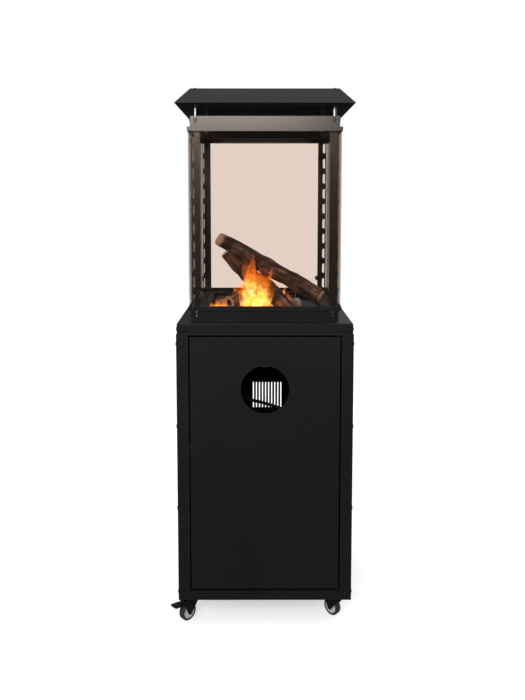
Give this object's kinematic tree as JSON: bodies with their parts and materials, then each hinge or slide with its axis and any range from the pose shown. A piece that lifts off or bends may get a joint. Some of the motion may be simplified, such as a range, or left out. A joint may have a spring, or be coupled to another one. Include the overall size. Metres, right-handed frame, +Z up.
{
  "type": "patio gas heater",
  "caption": "Wheeled square cabinet for a gas bottle, with a door at the front and a glazed lantern on top in which a log fire burns under a hip roof.",
  "frame": {"origin": "on the floor, under the middle of the cabinet", "axes": "+Z up, front and door towards -Y, +X to the right seen from the front"},
  "size_m": [0.5346, 0.5246, 1.5111],
  "materials": {
    "black_paint": "satin powder coat",
    "glass": "clear, faintly warm",
    "dark_steel": "blackened",
    "bright_steel": "zinc plated",
    "tyre_rubber": "matt",
    "grey_plastic": "moulded",
    "black_plastic": "semi-gloss",
    "brass": "machined",
    "stainless": "heat tinted",
    "cast_alloy": "cast",
    "ceramic": "rough fired ceramic with a bark texture"
  },
  "bodies": {
    "heater": {"door_frame": "black_paint", "side_panel_left": "black_paint", "side_panel_right": "black_paint", "rear_panel": "black_paint", "bottom_tray": "black_paint", "cabinet_cover": "black_paint", "corner_brackets": "black_paint", "base_box": "black_paint", "bottom_rim": "black_paint", "top_rim": "black_paint", "collar": "black_paint", "roof": "black_paint", "burner_tray": "black_paint", "control_panel": "black_paint", "cabinet_bolts": "black_paint", "door_pins": "black_paint", "castor_plates": "black_paint", "lantern_post_front_left": "black_paint", "lantern_post_front_right": "black_paint", "lantern_post_rear_left": "black_paint", "lantern_post_rear_right": "black_paint", "glass_front": "glass", "glass_rear": "glass", "glass_left": "glass", "glass_right": "glass", "lantern_screws": "dark_steel", "roof_posts": "bright_steel", "gas_hose": "tyre_rubber", "glass_bumpers": "tyre_rubber", "igniter_body": "black_plastic", "door_magnet": "black_plastic", "gas_valve": "brass", "gas_pipe": "brass", "burner": "stainless", "pilot_assembly": "stainless", "regulator": "cast_alloy", "log_main": "ceramic", "log_support": "ceramic", "log_front": "ceramic", "log_left": "ceramic", "log_chip": "ceramic"},
    "door": {"door_panel": "black_paint"},
    "valve_spindle": {"valve_spindle": "bright_steel"},
    "control_knob": {"control_knob": "black_plastic"},
    "igniter_button": {"igniter_button": "black_plastic"},
    "regulator_union": {"regulator_union": "brass"},
    "castor_fork_front_left": {"castor_fork_front_left": "black_paint"},
    "castor_wheel_front_left": {"castor_tyre_front_left": "tyre_rubber", "castor_hub_front_left": "grey_plastic"},
    "brake_pedal_front_left": {"brake_pedal_front_left": "black_paint"},
    "castor_fork_front_right": {"castor_fork_front_right": "black_paint"},
    "castor_wheel_front_right": {"castor_tyre_front_right": "tyre_rubber", "castor_hub_front_right": "grey_plastic"},
    "castor_fork_rear_left": {"castor_fork_rear_left": "black_paint"},
    "castor_wheel_rear_left": {"castor_tyre_rear_left": "tyre_rubber", "castor_hub_rear_left": "grey_plastic"},
    "castor_fork_rear_right": {"castor_fork_rear_right": "black_paint"},
    "castor_wheel_rear_right": {"castor_tyre_rear_right": "tyre_rubber", "castor_hub_rear_right": "grey_plastic"},
    "brake_pedal_rear_right": {"brake_pedal_rear_right": "black_paint"}
  },
  "joints": [
    {"name": "door_hinge", "type": "hinge", "parent": "heater", "child": "door", "pos_m": [0.203, -0.2385, 0.468], "axis": [0, 0, 1], "range_deg": [0, 105]},
    {"name": "castor_swivel_front_left", "type": "hinge", "parent": "heater", "child": "castor_fork_front_left", "pos_m": [-0.21, -0.205, 0.06], "axis": [0, 0, 1], "continuous": true},
    {"name": "wheel_spin_front_left", "type": "hinge", "parent": "castor_fork_front_left", "child": "castor_wheel_front_left", "pos_m": [-0.22273, -0.21773, 0.025], "axis": [0.7071, -0.7071, 0], "continuous": true},
    {"name": "brake_front_left", "type": "hinge", "parent": "castor_fork_front_left", "child": "brake_pedal_front_left", "pos_m": [-0.23121, -0.22621, 0.054], "axis": [0.7071, -0.7071, 0], "range_deg": [0, 15]},
    {"name": "castor_swivel_front_right", "type": "hinge", "parent": "heater", "child": "castor_fork_front_right", "pos_m": [0.21, -0.205, 0.06], "axis": [0, 0, 1], "continuous": true},
    {"name": "wheel_spin_front_right", "type": "hinge", "parent": "castor_fork_front_right", "child": "castor_wheel_front_right", "pos_m": [0.19727, -0.19227, 0.025], "axis": [-0.7071, -0.7071, 0], "continuous": true},
    {"name": "castor_swivel_rear_left", "type": "hinge", "parent": "heater", "child": "castor_fork_rear_left", "pos_m": [-0.21, 0.205, 0.06], "axis": [0, 0, 1], "continuous": true},
    {"name": "wheel_spin_rear_left", "type": "hinge", "parent": "castor_fork_rear_left", "child": "castor_wheel_rear_left", "pos_m": [-0.19727, 0.19227, 0.025], "axis": [0.7071, 0.7071, 0], "continuous": true},
    {"name": "castor_swivel_rear_right", "type": "hinge", "parent": "heater", "child": "castor_fork_rear_right", "pos_m": [0.21, 0.205, 0.06], "axis": [0, 0, 1], "continuous": true},
    {"name": "wheel_spin_rear_right", "type": "hinge", "parent": "castor_fork_rear_right", "child": "castor_wheel_rear_right", "pos_m": [0.22273, 0.21773, 0.025], "axis": [-0.7071, 0.7071, 0], "continuous": true},
    {"name": "brake_rear_right", "type": "hinge", "parent": "castor_fork_rear_right", "child": "brake_pedal_rear_right", "pos_m": [0.23121, 0.22621, 0.054], "axis": [-0.7071, 0.7071, 0], "range_deg": [0, 15]},
    {"name": "valve_push", "type": "slide", "parent": "heater", "child": "valve_spindle", "axis": [0, 1, 0], "range_m": [0, 0.005], "stiffness_N_per_m": 800},
    {"name": "knob_turn", "type": "hinge", "parent": "valve_spindle", "child": "control_knob", "pos_m": [0, -0.22, 0.758], "axis": [0, -1, 0], "range_deg": [0, 180]},
    {"name": "igniter_press", "type": "slide", "parent": "heater", "child": "igniter_button", "axis": [0, 1, 0], "range_m": [0, 0.006], "stiffness_N_per_m": 500},
    {"name": "union_turn", "type": "hinge", "parent": "heater", "child": "regulator_union", "pos_m": [0.208, 0.06, 0.66], "axis": [0, 0, 1], "continuous": true}
  ]
}
